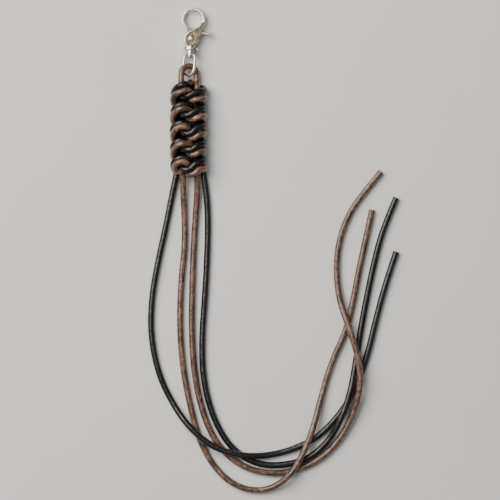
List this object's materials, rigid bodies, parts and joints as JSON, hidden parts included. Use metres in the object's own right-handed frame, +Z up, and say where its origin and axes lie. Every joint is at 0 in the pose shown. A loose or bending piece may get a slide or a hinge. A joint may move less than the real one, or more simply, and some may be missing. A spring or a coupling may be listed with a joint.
{
  "type": "cord key fob",
  "caption": "Wristlet-style key fob: a lever swivel snap hook on a loop of round leather cord, tied below it in a long square knot with loose cut ends.",
  "frame": {"origin": "on the surface the fob lies on, under the middle of the box around the hook, loop and knot", "axes": "+Z up from the surface; +Y along the knot, from the cord ends towards the hook; +X to the right seen from above, the side the cord ends curve to"},
  "size_m": [0.1196, 0.231, 0.011],
  "materials": {
    "plated_hook": "bright nickel plating on cast zinc, slightly worn",
    "plated_gate": "bright nickel plating on cast zinc",
    "rivet_steel": "nickel-plated steel, peened",
    "spring_steel": "bright spring wire",
    "brown_leather": "round brown leather cord, waxed sheen",
    "black_leather": "round black leather cord, waxed sheen"
  },
  "bodies": {
    "cords": {"brown_knot_turns": "brown_leather", "black_knot_turns": "black_leather", "brown_loop": "brown_leather", "black_tail_left": "black_leather", "brown_tail_left": "brown_leather", "brown_tail_right": "brown_leather", "black_tail_right": "black_leather"},
    "eye": {"swivel_eye": "plated_hook"},
    "hook": {"hook_body": "plated_hook", "gate_rivet": "rivet_steel", "gate_spring": "spring_steel", "swivel_rivet": "rivet_steel"},
    "gate": {"gate_lever": "plated_gate"}
  },
  "joints": [
    {"name": "loop_swing", "type": "hinge", "parent": "cords", "child": "eye", "pos_m": [-0.0012, 0.0113, 0.00462], "axis": [0.9272, 0, -0.3746], "range_deg": [-10, 30]},
    {"name": "swivel_turn", "type": "hinge", "parent": "eye", "child": "hook", "pos_m": [-0.00048, 0.01878, 0.00384], "axis": [0.0953, 0.9901, -0.1028], "continuous": true},
    {"name": "gate_open", "type": "hinge", "parent": "hook", "child": "gate", "pos_m": [0.00004, 0.02422, 0.00328], "axis": [0.0099, 0.1023, 0.9947], "range_deg": [-19, 0], "stiffness_Nm_per_rad": 0.004, "springref_deg": 20.05}
  ]
}
